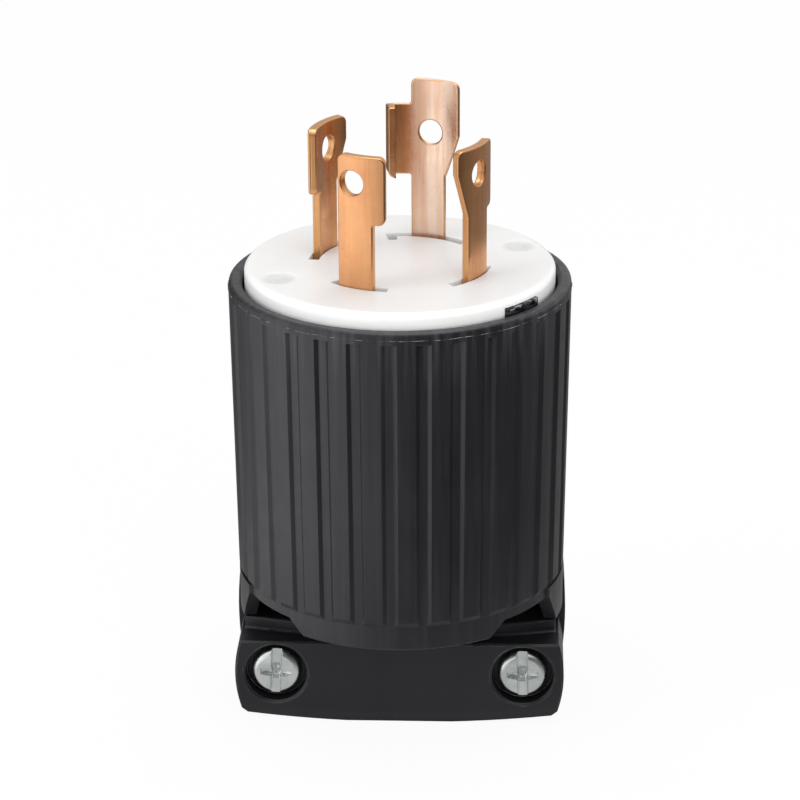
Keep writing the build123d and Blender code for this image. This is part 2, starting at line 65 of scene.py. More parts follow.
# Camera: angles in degrees, lengths in metres, focal length in pixels of an 800 pixel frame
CAMERA_AZIMUTH = 2.3
CAMERA_ELEVATION = 21.464
CAMERA_ROLL = -0.309
CAMERA_DISTANCE = 0.5
CAMERA_TARGET_HEIGHT = 0.054174
CAMERA_TARGET_SHIFT = -0.000104
FOCAL_PIXELS = 2965
FRAME_PIXELS = 800
SENSOR_WIDTH = 36
CLIP_RANGE = (0.01, 20)

# Blades: a strip's coined edges and small corners, how finely it follows its circle, and how
# near to each other points and radii are taken as the same, with angles in degrees
BLADE_EASE = 0.3 * MM
BLADE_EASE_STEPS = 4
BLADE_CORNER = 0.4 * MM
BLADE_CORNER_SHARE = 0.45
BLADE_CUT = 0.6 * MM
HOLE_POINTS = 56
LIP_SHRINK = 0.01 * MM
EDGE_SHARE = "edge_share"
EDGE_GAIN = 1.6
MERGE = 0.002 * MM
ON_CIRCLE = 0.01 * MM
SAME_CIRCLE_STEPS = 2
STRAIGHT_ANGLE = 0.2
SHARP_ANGLE = 20
CORNER_STEP = 12

# Clamp screws: the head's height and rounding, the shank, the driver's recess and the thread
SCREW_HEAD_HEIGHT = 2.6 * MM
SCREW_HEAD_ROUNDING = 1.17 * MM
SCREW_CROWN = 0.22 * MM
SCREW_SHANK_RADIUS = 2.1 * MM
SCREW_TIP_TAPER = 0.5 * MM
SLOT_HALF_WIDTH = 0.85 * MM
SLOT_DEPTH = 1.0 * MM
CROSS_REACH = 2.64 * MM
CROSS_HALF_WIDTH = 0.78 * MM
CROSS_DEPTH = 1.75 * MM
CROSS_TIP_DEPTH = 0.45 * MM
CROSS_TIP_WIDTH = 0.55
RECESS_SOFTNESS = 0.14 * MM
HEAD_RINGS = 48
HEAD_SECTORS = 240
THREAD_PITCH = 0.8 * MM
THREAD_DEPTH = 0.42 * MM
THREAD_SLOPE = 1.5
THREAD_ROOT = 0.3
THREAD_SECTORS = 60
THREAD_ROWS = 8
SCREW_TURNS = (-2.7, 1.5)
CREASE_ANGLE = 50

# Mould line on the rim's outer edge: its distance below the top of the key, its section, its
# height's lowest share, its nicks, and how far and in how many waves it wanders
MOULD_LINE_DROP = 2.15 * MM
MOULD_LINE_HEIGHT = 0.11 * MM
MOULD_LINE_WIDTH = 0.2 * MM
MOULD_LINE_POINTS = 900
MOULD_LINE_SEED = 7
MOULD_LINE_LOWEST = 0.6
MOULD_NICKS = 60
MOULD_NICK_POINTS = (3, 14)
MOULD_NICK_LEVEL = 0.1
MOULD_WANDER = 0.25
MOULD_WAVES = (23, 7)

# Looks: height above which the key gets painted highlight patches, heights over which the
# shell's streaks grow a painted highlight, the radius within which the face's slots get painted
# shade, and where along X the ground blade gets a painted highlight
KEY_HIGHLIGHT_LEVEL = 76.6 * MM
STREAK_LEVELS = (66 * MM, 74.5 * MM)
SLOT_REACH = 18 * MM
HIGHLIGHT_SIDE = (0.4 * MM, 3.0 * MM)

# Face dimples: how far they lie inside its edge, where round it, and how their painted shade fades
# out
DIMPLE_MARGIN = 4.4 * MM
DIMPLE_ANGLES = (24.2, 204.2)
DIMPLE_FADE = (1.9 * MM, 3.1 * MM)

# Stage: levels of light that the camera, mirrors and matt surfaces see, the directions that
# mirrors see them in, and how each fades out by the cosine of the angle away from it
FLOOR_SIZE = 12
FLOOR_ALBEDO = 0.9
FLOOR_WHITE_SHARE = 0.93
FLOOR_NEAR = (0.045, 0.095)
FLOOR_NEAR_LEVEL = 0.5
MIRROR_DARK = 0.135
MIRROR_BEHIND = 0.32
MIRROR_BACKDROP = 1.0
MIRROR_LIGHT = 1.42
MIRROR_OVERHEAD = 1.6
MIRROR_SIDE = (-0.88, -0.475, 0.0)
MIRROR_SIDE_FADE = (0.45, 1.0)
MIRROR_BACK = (0.6, 0.8, 0.0)
MIRROR_BACK_FADE = (0.2, 0.9)
MIRROR_OVERHEAD_FADE = (0.45, 0.85)
WORLD_MATT = 0.86

# The point that each lamp looks at, in metres
LAMP_AIM = (0, 0, 0.05)


def camera():
    """The camera, at the photograph's viewing angle."""
    azimuth = math.radians(CAMERA_AZIMUTH)
    elevation = math.radians(CAMERA_ELEVATION)
    roll = math.radians(CAMERA_ROLL)
    back = Vector((math.sin(azimuth) * math.cos(elevation),
                   -math.cos(azimuth) * math.cos(elevation), math.sin(elevation)))
    right = Vector((math.cos(azimuth), math.sin(azimuth), 0))
    up = back.cross(right)
    place = Vector((0, 0, CAMERA_TARGET_HEIGHT)) + right * CAMERA_TARGET_SHIFT
    place += back * CAMERA_DISTANCE
    across = right * math.cos(roll) + up * math.sin(roll)
    upward = -right * math.sin(roll) + up * math.cos(roll)
    data = bpy.data.cameras.new("camera")
    data.sensor_width = SENSOR_WIDTH
    data.lens = SENSOR_WIDTH * FOCAL_PIXELS / FRAME_PIXELS
    data.clip_start, data.clip_end = CLIP_RANGE
    item = bpy.data.objects.new("camera", data)
    bpy.context.scene.collection.objects.link(item)
    turn = Matrix((across, upward, back)).transposed().to_4x4()
    item.matrix_world = Matrix.Translation(place) @ turn
    bpy.context.scene.camera = item


# Node helpers

class Nodes:
    """A material's or the world's node tree, with short ways to add to it."""

    def __init__(self, tree):
        self.tree = tree
        tree.nodes.clear()

    def add(self, kind, **settings):
        node = self.tree.nodes.new(kind)
        for name, value in settings.items():
            setattr(node, name, value)
        return node

    def link(self, source, target):
        self.tree.links.new(source, target)

    def math(self, operation, first, second=0.0):
        node = self.add("ShaderNodeMath", operation=operation)
        for socket, value in zip(node.inputs, (first, second)):
            self.feed(socket, value)
        return node.outputs[0]

    def feed(self, socket, value):
        if isinstance(value, bpy.types.NodeSocket):
            self.link(value, socket)
        else:
            socket.default_value = value

    def noise(self, scale, detail=3.0, roughness=0.55, stretch=(1, 1, 1)):
        """Noise over the object's own coordinates, in cells per metre."""
        coordinates = self.add("ShaderNodeTexCoord")
        mapping = self.add("ShaderNodeMapping")
        mapping.inputs["Scale"].default_value = stretch
        self.link(coordinates.outputs["Object"], mapping.inputs["Vector"])
        texture = self.add("ShaderNodeTexNoise")
        texture.inputs["Scale"].default_value = scale
        texture.inputs["Detail"].default_value = detail
        texture.inputs["Roughness"].default_value = roughness
        self.link(mapping.outputs[0], texture.inputs["Vector"])
        return texture.outputs["Fac"]

    def spread(self, value, low, high, to_low=0.0, to_high=1.0):
        """A value's range mapped to another, clamped at both ends."""
        node = self.add("ShaderNodeMapRange", clamp=True)
        self.feed(node.inputs["Value"], value)
        node.inputs["From Min"].default_value = low
        node.inputs["From Max"].default_value = high
        node.inputs["To Min"].default_value = to_low
        node.inputs["To Max"].default_value = to_high
        return node.outputs[0]

    def blend(self, share, first, second):
        """Mix of two colours."""
        node = self.add("ShaderNodeMix", data_type="RGBA")
        self.feed(node.inputs["Factor"], share)
        for name, colour in (("A", first), ("B", second)):
            socket = [s for s in node.inputs if s.name == name and s.type == "RGBA"][0]
            self.feed(socket, (*colour, 1) if isinstance(colour, tuple) else colour)
        return [s for s in node.outputs if s.type == "RGBA"][0]

    def bump(self, height, strength, distance, normal=None):
        node = self.add("ShaderNodeBump")
        node.inputs["Strength"].default_value = strength
        node.inputs["Distance"].default_value = distance
        self.link(height, node.inputs["Height"])
        if normal is not None:
            self.link(normal, node.inputs["Normal"])
        return node.outputs["Normal"]

    def soft_edges(self, radius):
        """Normal of a surface whose sharp edges are rounded off by a radius."""
        bevel = self.add("ShaderNodeBevel", samples=4)
        bevel.inputs["Radius"].default_value = radius
        return bevel.outputs[0]

    def place(self, output):
        """One of X, Y and Z of a spot in the object's own coordinates."""
        coordinates = self.add("ShaderNodeTexCoord")
        split = self.add("ShaderNodeSeparateXYZ")
        self.link(coordinates.outputs["Object"], split.inputs[0])
        return split.outputs[output]

    def distance_from(self, x, y):
        """Distance of a spot from the upright line at an x and a y."""
        squares = []
        for output, middle in (("X", x), ("Y", y)):
            apart = self.math("SUBTRACT", self.place(output), middle)
            squares.append(self.math("MULTIPLY", apart, apart))
        return self.math("SQRT", self.math("ADD", *squares))

    def openness(self, distance):
        """How open a spot is to what lies within a distance, from 0 to 1."""
        node = self.add("ShaderNodeAmbientOcclusion", samples=8)
        node.inputs["Distance"].default_value = distance
        return node.outputs["AO"]

    def edges(self, radius, low, high):
        """Share of a spot's nearness to a sharp edge, from 0 to 1."""
        bevel = self.add("ShaderNodeBevel", samples=6)
        bevel.inputs["Radius"].default_value = radius
        geometry = self.add("ShaderNodeNewGeometry")
        dot = self.add("ShaderNodeVectorMath", operation="DOT_PRODUCT")
        self.link(bevel.outputs[0], dot.inputs[0])
        self.link(geometry.outputs["Normal"], dot.inputs[1])
        return self.spread(self.math("SUBTRACT", 1.0, dot.outputs["Value"]), low, high)


def principled(name):
    """A new material with a Principled shader: the material, its nodes and the shader."""
    item = bpy.data.materials.new(name)
    item.use_nodes = True
    made = Nodes(item.node_tree)
    shader = made.add("ShaderNodeBsdfPrincipled")
    output = made.add("ShaderNodeOutputMaterial")
    made.link(shader.outputs[0], output.inputs["Surface"])
    return item, made, shader


# Materials

def black_nylon(name="black_nylon_look", streak=0.2, wear_and_sheen=0.45, rubbed_and_lit=(0.075, 0.075, 0.08),
                worn_and_lit=(0.5, 0.68), gloss=0.6):
    """Satin black nylon: upright streaks and fine grain, with painted light on top.

    Painted shade darkens its crevices; a painted highlight grows on the streaks towards the top,
    lightens patches on the key and, with real rubbing, the sharp edges. streak and wear_and_sheen
    are shares of the streaks and of the rubbed_and_lit colour, worn_and_lit is the range of noise
    over which edges are lightened, and gloss is the specular level.
    """
    item, n, shader = principled(name)
    patches = n.spread(n.noise(90, 4), 0.35, 0.65)
    streaks = n.spread(n.noise(900, 3, stretch=(1, 1, 0.035)), 0.45, 0.72)
    base = n.blend(patches, (0.0068, 0.0068, 0.0079), (0.0088, 0.0088, 0.0101))
    # Painted shade: darker where nearby surfaces close a spot in, as in the ribs' grooves.
    depth = n.spread(n.openness(1.1 * MM), 0.45, 0.92)
    base = n.blend(depth, (0.0012, 0.0012, 0.0014), base)
    # Mould streaks, with a painted highlight that grows on them towards the top of the ribs.
    high = n.spread(n.place("Z"), *STREAK_LEVELS, streak, 0.9)
    base = n.blend(n.math("MULTIPLY", streaks, high), base, (0.036, 0.036, 0.039))
    # Painted highlight: lighter patches on the key, at the top of the rim.
    key_highlights = n.spread(n.noise(650, 3), 0.48, 0.60)
    key_highlights = n.math("MULTIPLY", key_highlights, n.math("GREATER_THAN", n.place("Z"), KEY_HIGHLIGHT_LEVEL))
    base = n.blend(key_highlights, base, (0.30, 0.30, 0.30))
    # Edges lightened: partly real rubbing, partly a painted highlight.
    rub_and_sheen = n.math("MULTIPLY", n.edges(0.3 * MM, 0.04, 0.25), n.spread(n.noise(420, 4), *worn_and_lit))
    base = n.blend(n.math("MULTIPLY", rub_and_sheen, wear_and_sheen), base, rubbed_and_lit)
    n.link(base, shader.inputs["Base Color"])
    rough = n.spread(n.noise(300, 4), 0.3, 0.7, 0.36, 0.45)
    n.link(rough, shader.inputs["Roughness"])
    shader.inputs["IOR"].default_value = 1.5
    shader.inputs["Specular IOR Level"].default_value = gloss
    shader.inputs["Specular Tint"].default_value = (0.93, 0.94, 1.0, 1.0)
    ripple = n.noise(420, 2, stretch=(1, 1, 0.12))
    normal = n.bump(ripple, 0.16, 0.06 * MM, n.soft_edges(0.16 * MM))
    normal = n.bump(n.noise(5200, 2), 0.14, 0.02 * MM, normal)
    n.link(normal, shader.inputs["Normal"])
    return item


def white_nylon():
    """Bright nylon, slightly translucent, with fine grain; painted shade and copper reflection in
    its slots, and painted shade in its dimples.
    """
    item, n, shader = principled("white_nylon_look")
    patches = n.spread(n.noise(120, 3), 0.35, 0.65)
    base = n.blend(patches, (0.845, 0.845, 0.842), (0.865, 0.865, 0.86))
    # Painted shade and painted reflection: slot walls near the blades turn a darker copper brown
    # where they are closed in.
    depth = n.spread(n.openness(1.2 * MM), 0.02, 0.3)
    depth = n.math("MAXIMUM", depth, n.math("GREATER_THAN", n.distance_from(0, 0), SLOT_REACH))
    base = n.blend(depth, (0.62, 0.44, 0.30), base)
    low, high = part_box("face")
    ring = (high.x - low.x) / 2 - DIMPLE_MARGIN
    marks = n.spread(n.noise(1000, 3), 0.3, 0.7, 0.5, 1.0)
    # Painted shade: a soft grey in each dimple, broken up by noise.
    for angle in map(math.radians, DIMPLE_ANGLES):
        reach = n.distance_from(ring * math.cos(angle), ring * math.sin(angle))
        dimple_shade = n.spread(reach, *DIMPLE_FADE, 1.0, 0.0)
        base = n.blend(n.math("MULTIPLY", dimple_shade, marks), base, (0.66, 0.665, 0.665))
    n.link(base, shader.inputs["Base Color"])
    n.link(n.spread(n.noise(260, 4), 0.3, 0.7, 0.31, 0.36), shader.inputs["Roughness"])
    shader.inputs["IOR"].default_value = 1.5
    shader.inputs["Subsurface Weight"].default_value = 0.3
    shader.inputs["Subsurface Radius"].default_value = (1.0, 0.95, 0.9)
    shader.inputs["Subsurface Scale"].default_value = 1.2 * MM
    normal = n.bump(n.noise(70, 1), 0.1, 0.2 * MM)
    n.link(n.bump(n.noise(4200, 2), 0.06, 0.02 * MM, normal), shader.inputs["Normal"])
    return item


def flecked_nylon():
    """Dark nylon flecked with a lighter grey, for the mould line."""
    item, n, shader = principled("mould_line_look")
    marks = n.spread(n.noise(700, 4, 0.65), 0.42, 0.62)
    n.link(n.blend(marks, (0.012, 0.012, 0.013), (0.25, 0.25, 0.255)), shader.inputs["Base Color"])
    n.link(n.spread(n.noise(500, 3), 0.3, 0.7, 0.4, 0.6), shader.inputs["Roughness"])
    n.link(n.bump(n.noise(2400, 3), 0.3, 0.04 * MM), shader.inputs["Normal"])
    return item


def dark_nylon():
    """Duller dark nylon of the block inside."""
    item, n, shader = principled("block_nylon_look")
    patches = n.spread(n.noise(150, 4), 0.35, 0.65)
    base = n.blend(patches, (0.03, 0.03, 0.032), (0.045, 0.045, 0.047))
    n.link(base, shader.inputs["Base Color"])
    n.link(n.spread(n.noise(300, 3), 0.3, 0.7, 0.5, 0.62), shader.inputs["Roughness"])
    n.link(n.bump(n.noise(3600, 2), 0.2, 0.03 * MM), shader.inputs["Normal"])
    return item


def blade_copper(name="blade_copper_look", painted_highlight=False):
    """Stamped copper alloy: rolled along its length, slightly stained, with coined edges."""
    item, n, shader = principled(name)
    stains = n.spread(n.noise(160, 5, 0.6), 0.42, 0.66)
    base = n.blend(stains, (0.71, 0.335, 0.150), (0.61, 0.27, 0.115))
    streaks = n.spread(n.noise(420, 3, stretch=(1, 1, 0.05)), 0.37, 0.57)
    base = n.blend(n.math("MULTIPLY", streaks, 0.5), base, (0.78, 0.42, 0.21))
    if painted_highlight:
        # Painted highlight: the ground blade turns lighter and whiter along X, most on its
        # streaks.
        share = n.math("MULTIPLY", n.spread(n.place("X"), *HIGHLIGHT_SIDE),
                       n.spread(streaks, 0.0, 1.0, 0.55, 1.0))
        base = n.blend(share, base, (0.93, 0.73, 0.59))
    specks = n.spread(n.noise(1300, 4, 0.65), 0.63, 0.74)
    base = n.blend(n.math("MULTIPLY", specks, 0.5), base, (0.42, 0.18, 0.075))
    # Painted highlight: the coined edges are tinted a lighter orange.
    edge = n.add("ShaderNodeAttribute", attribute_name=EDGE_SHARE)
    base = n.blend(n.math("MULTIPLY", edge.outputs["Fac"], 0.8), base, (0.72, 0.38, 0.165))
    n.link(base, shader.inputs["Base Color"])
    shader.inputs["Metallic"].default_value = 1.0
    rolled = n.noise(2600, 3, stretch=(1, 1, 0.04))
    rough = n.spread(n.math("ADD", rolled, n.noise(220, 4)), 0.75, 1.25, 0.24, 0.40)
    n.link(rough, shader.inputs["Roughness"])
    normal = n.bump(n.noise(260, 3), 0.25, 0.08 * MM)
    normal = n.bump(rolled, 0.12, 0.02 * MM, normal)
    n.link(normal, shader.inputs["Normal"])
    return item


def plated(name, light, dark, recess_tone=None):
    """Plated or turned metal with slight clouding and fine scratches, darker in its recesses where
    a recess colour is given.
    """
    item, n, shader = principled(name)
    base = n.blend(n.spread(n.noise(420, 5, 0.6), 0.38, 0.66), light, dark)
    if recess_tone:
        # Darker in recesses, where the surface is closed in.
        depth = n.spread(n.openness(1.1 * MM), 0.25, 0.7, 0.85, 0.0)
        base = n.blend(n.math("MULTIPLY", depth, n.spread(n.noise(900, 3), 0.3, 0.5)), base, recess_tone)
    n.link(base, shader.inputs["Base Color"])
    shader.inputs["Metallic"].default_value = 1.0
    n.link(n.spread(n.noise(700, 4), 0.3, 0.7, 0.22, 0.36), shader.inputs["Roughness"])
    normal = n.bump(n.noise(900, 3), 0.25, 0.05 * MM)
    normal = n.bump(n.noise(5200, 2), 0.2, 0.015 * MM, normal)
    n.link(normal, shader.inputs["Normal"])
    return item


def dyed_steel():
    """Green-dyed plating of the grounding screw."""
    item, n, shader = principled("green_steel_look")
    base = n.blend(n.spread(n.noise(500, 4), 0.38, 0.66), (0.03, 0.24, 0.08), (0.05, 0.34, 0.13))
    n.link(base, shader.inputs["Base Color"])
    shader.inputs["Metallic"].default_value = 0.8
    n.link(n.spread(n.noise(700, 4), 0.3, 0.7, 0.26, 0.38), shader.inputs["Roughness"])
    n.link(n.bump(n.noise(2600, 2), 0.2, 0.02 * MM), shader.inputs["Normal"])
    return item


# A look for each material slot, and for the nodes that have one of their own
looks = {
    "black_nylon": black_nylon(),
    "white_nylon": white_nylon(),
    "block_nylon": dark_nylon(),
    "blade_copper": blade_copper(),
    # The jaw's edges get a strong, nearly continuous painted highlight.
    "front_jaw": black_nylon("jaw_nylon_look", streak=0.03, wear_and_sheen=1.0, rubbed_and_lit=(0.2, 0.2, 0.205),
                             worn_and_lit=(0.38, 0.6), gloss=0.48),
    "blade_ground": blade_copper("blade_ground_look", painted_highlight=True),
    "plate_steel": plated("plate_steel_look", (0.60, 0.60, 0.58), (0.42, 0.42, 0.41)),
    "zinc_steel": plated("zinc_steel_look", (0.86, 0.885, 0.875), (0.68, 0.73, 0.70),
                         recess_tone=(0.30, 0.40, 0.34)),
    "screw_brass": plated("screw_brass_look", (0.83, 0.62, 0.27), (0.66, 0.46, 0.18)),
    "green_steel": dyed_steel(),
}
slots = {row["node"]: row["material_slot"] for row in frame["record"]["subparts"]}


def look_of(node):
    """A node's look: its own, or that of its material slot."""
    return looks.get(node, looks[slots[node]])


# Pieces

def circle_points(count, radius):
    """Points of a circle about the origin."""
    turns = [2 * math.pi * i / count for i in range(count)]
    return [(radius * math.cos(turn), radius * math.sin(turn)) for turn in turns]


def ring_strip(work, first, second):
    """Faces between two rings of as many points."""
    count = len(first)
    for i in range(count):
        j = (i + 1) % count
        work.faces.new((first[i], first[j], second[j], second[i]))


def smooth_mesh(work, name):
    """A smoothly shaded mesh from a bmesh, which is freed."""
    mesh = bpy.data.meshes.new(name)
    work.to_mesh(mesh)
    work.free()
    for face in mesh.polygons:
        face.use_smooth = True
    return mesh


def new_piece(mesh, node, look):
    """An object from a mesh that rides with a CAD node's body and takes the given look."""
    item = bpy.data.objects.new(mesh.name, mesh)
    bpy.context.scene.collection.objects.link(item)
    mesh.materials.append(look)
    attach(item, bodies[node])
    return item


def keep_node(node):
    """A CAD node that stays as it is, with its procedural look."""
    nodes[node].material_slots[0].material = look_of(node)


# Blades

def unrolled(point, middle):
    """A point about the Z axis laid out flat: along the blades' middle circle, and up."""
    angle = math.atan2(point.y, point.x) - middle
    angle = (angle + math.pi) % (2 * math.pi) - math.pi
    return Vector((angle, point.z))


def face_loops(node, radius, middle):
    """Closed outlines of a node's faces at one radius, with their angles and heights."""
    mesh = nodes[node].data
    keys = [tuple(round(c / MERGE) for c in vertex.co) for vertex in mesh.vertices]
    places = {key: vertex.co for key, vertex in zip(keys, mesh.vertices)}
    on = [abs(math.hypot(v.co.x, v.co.y) - radius) < ON_CIRCLE for v in mesh.vertices]
    sides = set()
    for face in mesh.polygons:
        ring = list(face.vertices)
        if all(on[i] for i in ring):
            sides.update((keys[a], keys[b]) for a, b in zip(ring, ring[1:] + ring[:1]))
    border = {a: b for a, b in sides if (b, a) not in sides}
    loops = []
    while border:
        start, here = border.popitem()
        loop = [start]
        while here != start:
            loop.append(here)
            here = border.pop(here)
        loops.append([unrolled(places[key], middle) for key in loop])
    return loops


def area(loop):
    """Signed area of a flat loop."""
    return sum(a.x * b.y - b.x * a.y for a, b in zip(loop, loop[1:] + loop[:1])) / 2


def turn_at(before, here, after):
    """Turn of a path at a point, in radians, to the left."""
    first = here - before
    second = after - here
    return math.atan2(first.x * second.y - first.y * second.x, first.dot(second))


def tidy_loop(loop):
    """A loop without its points on straight stretches, and with small arcs at its corners."""
    around = zip(loop[-1:] + loop[:-1], loop, loop[1:] + loop[:1])
    loop = [here for before, here, after in around
            if abs(turn_at(before, here, after)) > math.radians(STRAIGHT_ANGLE)]
    made = []
    for before, here, after in zip(loop[-1:] + loop[:-1], loop, loop[1:] + loop[:1]):
        turn = turn_at(before, here, after)
        if abs(turn) < math.radians(SHARP_ANGLE):
            made.append(here)
            continue
        reach = BLADE_CORNER * math.tan(abs(turn) / 2)
        shorter = min((here - before).length, (after - here).length)
        reach = min(reach, BLADE_CORNER_SHARE * shorter)
        radius = reach / math.tan(abs(turn) / 2)
        heading = (here - before).normalized()
        side = Vector((-heading.y, heading.x)) * math.copysign(1, turn)
        start = here - heading * reach
        steps = max(2, math.ceil(abs(math.degrees(turn)) / CORNER_STEP))
        for i in range(steps + 1):
            swing = abs(turn) * i / steps
            made.append(start + heading * radius * math.sin(swing)
                        + side * radius * (1 - math.cos(swing)))
    return made


def round_hole(loop, stretch):
    """A hole's loop as an even ring of points, stretched along the strip."""
    low = Vector((min(p.x for p in loop), min(p.y for p in loop)))
    high = Vector((max(p.x for p in loop), max(p.y for p in loop)))
    centre = (low + high) / 2
    half = (high - low) / 2
    return [centre + Vector((half.x * stretch * x, -half.y * y))
            for x, y in circle_points(HOLE_POINTS, 1.0)]


def offset_directions(loop):
    """At each point of a loop with its solid on the left: the way out, and its mitre."""
    made = []
    for before, here, after in zip(loop[-1:] + loop[:-1], loop, loop[1:] + loop[:1]):
        first = (here - before).normalized()
        second = (after - here).normalized()
        outs = [Vector((side.y, -side.x)) for side in (first, second)]
        whole = outs[0] + outs[1]
        made.append((whole.normalized(), whole / (1 + outs[0].dot(outs[1]))))
    return made


def plate_rows(face, back):
    """Rows of a plate's edge from one face to the other: inset, depth and the normal."""
    way = math.copysign(1, face - back)
    quarter = [math.pi / 2 * i / BLADE_EASE_STEPS for i in range(BLADE_EASE_STEPS + 1)]
    rows = [(BLADE_EASE * (1 - math.sin(a)), face - way * BLADE_EASE * (1 - math.cos(a)),
             math.sin(a), way * math.cos(a)) for a in quarter]
    rows += [(BLADE_EASE * (1 - math.sin(a)), back + way * BLADE_EASE * (1 - math.cos(a)),
              math.sin(a), -way * math.cos(a)) for a in reversed(quarter)]
    return rows


def add_plate(work, layer, loops, face, back, shrink=0.0):
    """A plate with rounded edges in the flat layout: its outline, then its holes."""
    edge = work.verts.layers.float[EDGE_SHARE]
    rows = []
    for inset, height, out_share, up_share in plate_rows(face, back):
        row = []
        for loop in loops:
            ring = []
            for point, (out, mitre) in zip(loop, offset_directions(loop)):
                place = point - mitre * (inset + shrink)
                vertex = work.verts.new((place.x, place.y, height))
                vertex[layer] = (out.x * out_share, out.y * out_share, up_share)
                vertex[edge] = min(1.0, EDGE_GAIN * (1 - inset / BLADE_EASE))
                ring.append(vertex)
            row.append(ring)
        rows.append(row)
    for upper, lower in zip(rows, rows[1:]):
        for ring, other in zip(upper, lower):
            for i in range(len(ring)):
                j = (i + 1) % len(ring)
                work.faces.new((ring[i], other[i], other[j], ring[j]))
    for row in (rows[0], rows[-1]):
        flat = [vertex for ring in row for vertex in ring]
        outlines = [[(v.co.x, v.co.y, 0) for v in ring] for ring in row]
        for triangle in tessellate_polygon(outlines):
            work.faces.new([flat[i] for i in triangle])


def circle_radii(node):
    """Radii of the circles that a blade's points lie on, from the inside out."""
    points = nodes[node].data.vertices
    steps = sorted({round(math.hypot(v.co.x, v.co.y) / ON_CIRCLE) for v in points})
    apart = steps[:1]
    for step in steps:
        if step - apart[-1] > SAME_CIRCLE_STEPS:
            apart.append(step)
    return [step * ON_CIRCLE for step in apart]


def blade_form(node):
    """A blade with coined edges: its outline laid flat, rounded and rolled to its circle."""
    low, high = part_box(node)
    centre = (low + high) / 2
    middle = math.atan2(centre.y, centre.x)
    radii = circle_radii(node)
    inner, outer = radii[-2:]
    circle = (inner + outer) / 2
    work = bmesh.new()
    work.verts.layers.float.new(EDGE_SHARE)
    layer = work.verts.layers.float_vector.new("flat_normal")
    plates = [(outer, inner, 0.0)]
    if len(radii) > 2:
        plates.append((radii[0], circle, LIP_SHRINK))
    for face, back, shrink in plates:
        loops = [[Vector((p.x * circle, p.y)) for p in loop]
                 for loop in face_loops(node, face, middle)]
        loops.sort(key=lambda loop: -abs(area(loop)))
        outline = loops[0] if area(loops[0]) > 0 else loops[0][::-1]
        holes = [round_hole(loop, face / circle) for loop in loops[1:]]
        add_plate(work, layer, [tidy_loop(outline)] + holes, face, back, shrink)
    start = min(vertex.co.x for vertex in work.verts)
    end = max(vertex.co.x for vertex in work.verts)
    for i in range(1, math.ceil((end - start) / BLADE_CUT)):
        bmesh.ops.bisect_plane(work, geom=work.verts[:] + work.edges[:] + work.faces[:],
                               plane_co=(start + i * BLADE_CUT, 0, 0), plane_no=(1, 0, 0))
    bmesh.ops.recalc_face_normals(work, faces=work.faces)
    normals = []
    for vertex in work.verts:
        angle = vertex.co.x / circle + middle
        out = Vector((math.cos(angle), math.sin(angle), 0))
        along = Vector((-out.y, out.x, 0))
        flat = vertex[layer]
        normals.append((along * flat.x + Vector((0, 0, flat.y)) + out * flat.z).normalized())
        vertex.co = out * vertex.co.z + Vector((0, 0, vertex.co.y))
    mesh = smooth_mesh(work, node + "_form")
    mesh.normals_split_custom_set_from_vertices(normals)
    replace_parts(new_piece(mesh, node, look_of(node)), node)


# Clamp screws

def smooth_step(value, low, high):
    """0 below the low end, 1 above the high end, and smooth between them."""
    share = min(max((value - low) / (high - low), 0.0), 1.0)
    return share * share * (3 - 2 * share)


def inside(distance, half):
    """Share of a recess at a distance from its middle line, with soft walls."""
    return 1 - smooth_step(distance, half - RECESS_SOFTNESS / 2, half + RECESS_SOFTNESS / 2)


def head_height(x, y, radius):
    """Height of a clamp screw's head over its seat, slot along y, cross recess on both."""
    reach = math.hypot(x, y)
    height = SCREW_HEAD_HEIGHT - SCREW_CROWN * (reach / radius) ** 2
    over = reach - (radius - SCREW_HEAD_ROUNDING)
    if over > 0:
        height -= SCREW_HEAD_ROUNDING - math.sqrt(max(SCREW_HEAD_ROUNDING ** 2 - over ** 2, 0))
    slot = SCREW_HEAD_HEIGHT - SLOT_DEPTH
    floor = height
    if height > slot:
        floor = height - (height - slot) * inside(abs(x), SLOT_HALF_WIDTH)
    for along, across in ((abs(x), abs(y)), (abs(y), abs(x))):
        share = 1 - along / CROSS_REACH
        if share > 0:
            half = CROSS_HALF_WIDTH * (CROSS_TIP_WIDTH + (1 - CROSS_TIP_WIDTH) * share)
            low = SCREW_HEAD_HEIGHT - CROSS_TIP_DEPTH - (CROSS_DEPTH - CROSS_TIP_DEPTH) * share
            if low < floor:
                floor -= (floor - low) * inside(across, half)
    return floor


def thread_radius(depth, share, length):
    """Radius of the threaded shank at a depth below the seat and a share of a turn."""
    phase = (depth / THREAD_PITCH + share) % 1.0
    ridge = min(max(abs(2 * phase - 1) * THREAD_SLOPE - THREAD_ROOT, 0.0), 1.0)
    radius = SCREW_SHANK_RADIUS - THREAD_DEPTH * (1 - ridge)
    return radius - max(0.0, depth - (length - SCREW_TIP_TAPER))


def add_ring(work, frame_at, points):
    """A ring of vertices at points of a frame."""
    return [work.verts.new(frame_at @ Vector(point)) for point in points]


